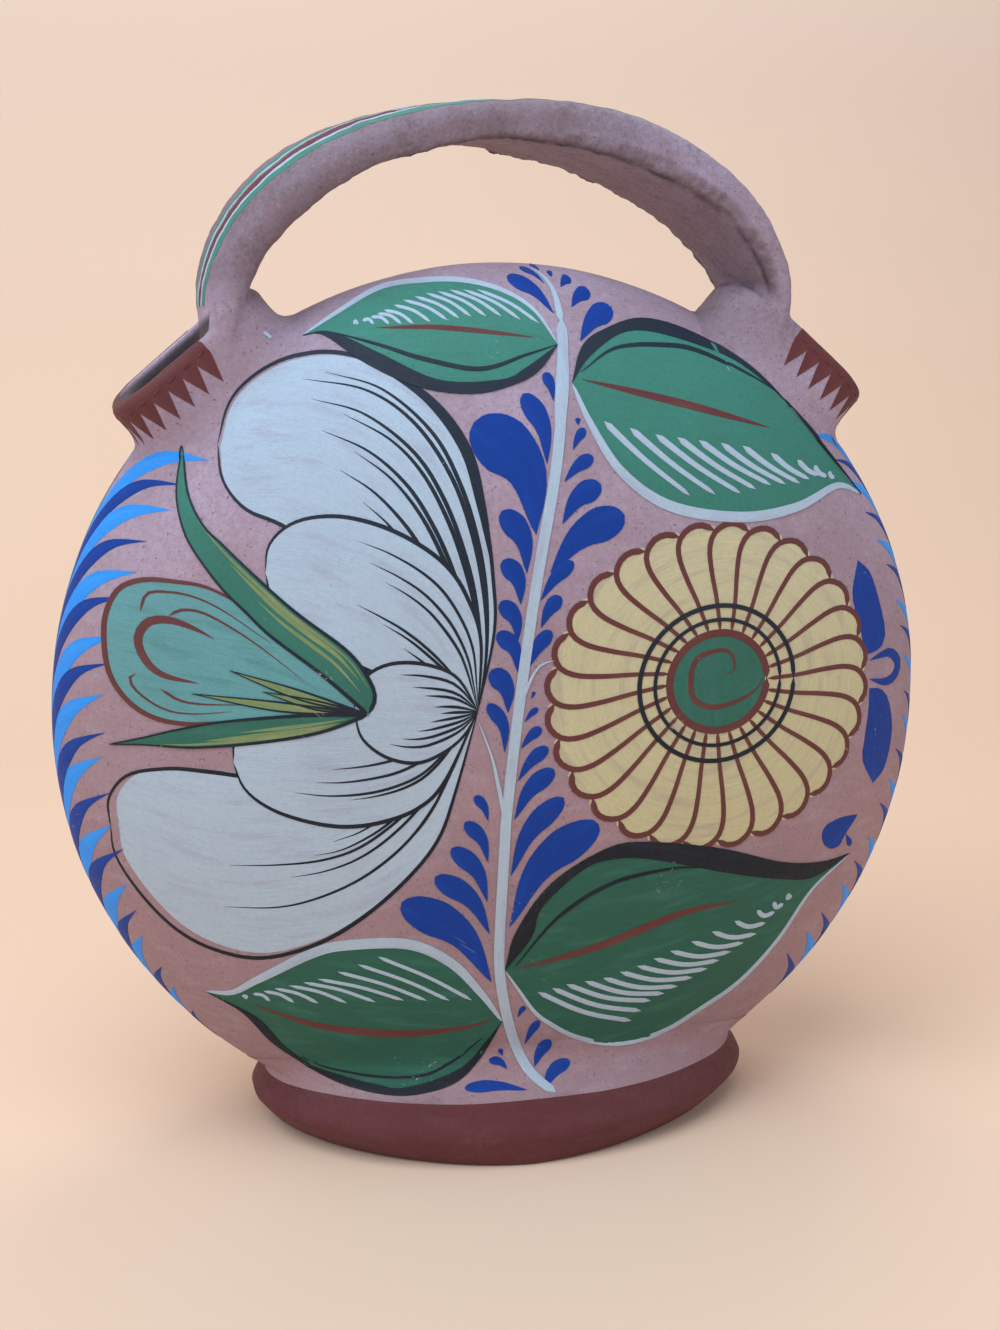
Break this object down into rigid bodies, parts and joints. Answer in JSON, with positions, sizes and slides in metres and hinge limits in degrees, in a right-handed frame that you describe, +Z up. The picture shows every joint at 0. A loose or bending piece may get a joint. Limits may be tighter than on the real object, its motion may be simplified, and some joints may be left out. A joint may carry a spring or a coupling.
{
  "type": "ceramic wedding vase",
  "caption": "Flat round clay wedding vase with a spout on each shoulder, a strap handle arched between them and an oval ring foot; painted with flowers and leaves.",
  "frame": {"origin": "on the table under the middle of the ring foot", "axes": "+Z up, +X to the right of someone facing the front, -Y towards the front of the vase"},
  "size_m": [0.286, 0.11, 0.3278],
  "materials": {
    "pink_slip": "matte dusty pink slip, brushed, with grey dirt in the pits",
    "maroon_slip": "matte maroon slip, slightly burnished, chipped at the lower edge",
    "bare_clay": "unpainted low-fired clay",
    "white_paint": "matte opaque white with brush streaks",
    "black_paint": "matte black line",
    "green_paint": "matte leaf green",
    "teal_paint": "matte pale teal with streaks",
    "yellow_paint": "matte ochre yellow, brushed thin",
    "maroon_paint": "matte maroon line and band",
    "dark_blue_paint": "matte cobalt blue",
    "light_blue_paint": "matte sky blue"
  },
  "bodies": {
    "root": {"front_body_half": "pink_slip", "back_body_half": "pink_slip", "seam_roll_top": "bare_clay", "seam_roll_left": "bare_clay", "seam_roll_right": "bare_clay", "base_slab": "bare_clay", "foot_ring": "maroon_slip", "left_spout": "pink_slip", "right_spout": "pink_slip", "handle": "pink_slip"}
  },
  "joints": []
}
